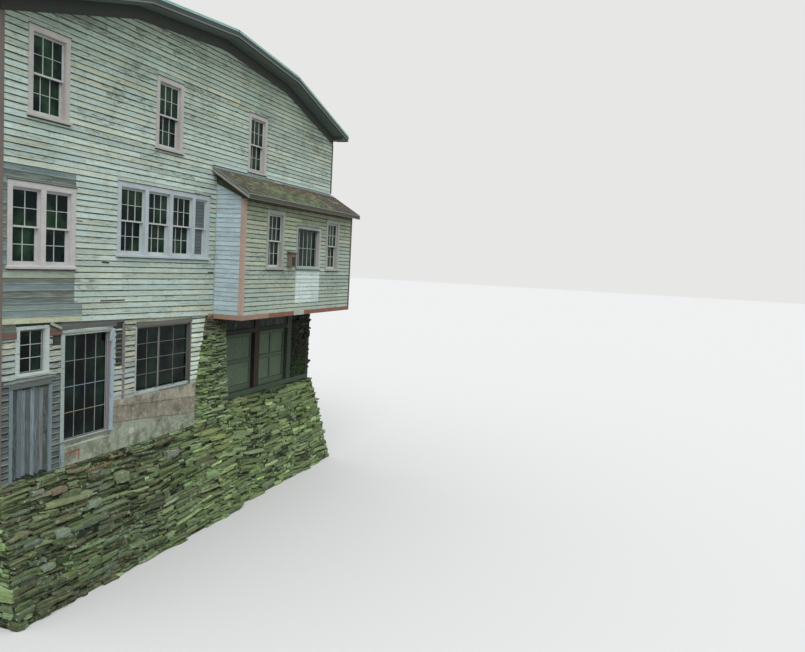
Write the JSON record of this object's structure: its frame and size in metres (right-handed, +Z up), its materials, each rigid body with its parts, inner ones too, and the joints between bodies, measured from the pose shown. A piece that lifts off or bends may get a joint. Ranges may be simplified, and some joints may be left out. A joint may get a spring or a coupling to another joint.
{
  "type": "watermill building",
  "caption": "Timber mill house with a shallow bow roof, a jettied lean-to and a battered stone foundation for a creek bank.",
  "frame": {"origin": "centre of the footprint of the whole part, at the foot of the foundation", "axes": "+X along the river gable wall from the near corner to the jetty end, -Y out over the creek, +Z up"},
  "size_m": [15.17, 13.12, 12.8503],
  "materials": {
    "flagstone": "rough dry-laid flagstone",
    "concrete": "rough cast concrete",
    "clapboard": "weathered pale blue-green paint",
    "dark_timber": "dark weathered timber",
    "floor_timber": "sawn boards",
    "roofing": "granular roofing",
    "mossy_shingle": "mossy shingle courses",
    "pinkish_trim": "faded trim paint",
    "frieze_brown": "dark weathered paint",
    "red_trim": "worn red-brown paint",
    "sash_paint": "worn off-white paint",
    "window_glass": "old window glass",
    "box_wood": "stained wood",
    "blue_board": "pale blue paint",
    "grey_planks": "bare weathered planks",
    "green_door_paint": "dull green-grey paint"
  },
  "bodies": {
    "building": {"river_foundation": "flagstone", "rear_foundation": "flagstone", "stone_pier": "flagstone", "concrete_infill": "concrete", "basement_floor": "flagstone", "basement_corner_wall": "clapboard", "basement_wall_over_door": "clapboard", "basement_window_wall": "clapboard", "bay_framing": "dark_timber", "bay_boarding": "dark_timber", "first_floor": "floor_timber", "second_floor": "floor_timber", "river_wall_lower": "clapboard", "river_wall_upper": "clapboard", "left_wall": "clapboard", "right_wall": "clapboard", "rear_wall": "clapboard", "roof_left_eave_slope": "roofing", "roof_left_top_slope": "roofing", "roof_right_top_slope": "roofing", "roof_right_eave_slope": "roofing", "rake_boards": "pinkish_trim", "eave_boxes": "pinkish_trim", "frieze_boards": "frieze_brown", "corner_boards": "pinkish_trim", "red_band": "red_trim", "jetty_floor": "floor_timber", "jetty_front_wall": "clapboard", "jetty_side_walls": "clapboard", "jetty_roof": "mossy_shingle", "jetty_trim": "red_trim", "upper_windows": "sash_paint", "pair_window": "sash_paint", "band_window": "sash_paint", "jetty_windows": "sash_paint", "jetty_fixed_window": "sash_paint", "basement_windows": "sash_paint", "rear_windows": "sash_paint", "side_windows": "sash_paint", "river_glass": "window_glass", "jetty_glass": "window_glass", "basement_glass": "window_glass", "rear_glass": "window_glass", "side_glass": "window_glass", "wall_box": "box_wood", "leaning_board": "blue_board", "door_frame": "grey_planks"},
    "plank_door_leaf": {"plank_door": "grey_planks"},
    "near_bay_leaf": {"near_bay_door": "green_door_paint"},
    "far_bay_leaf": {"far_bay_door": "green_door_paint"}
  },
  "joints": [
    {"name": "plank_door_hinge", "type": "hinge", "parent": "building", "child": "plank_door_leaf", "pos_m": [-6.793, -5.345, 3.5], "axis": [0, 0, 1], "range_deg": [0, 90]},
    {"name": "near_bay_hinge", "type": "hinge", "parent": "building", "child": "near_bay_leaf", "pos_m": [1.279, -4.665, 3.8], "axis": [0, 0, 1], "range_deg": [0, 90]},
    {"name": "far_bay_hinge", "type": "hinge", "parent": "building", "child": "far_bay_leaf", "pos_m": [5.451, -4.665, 3.8], "axis": [0, 0, -1], "range_deg": [0, 90]}
  ]
}
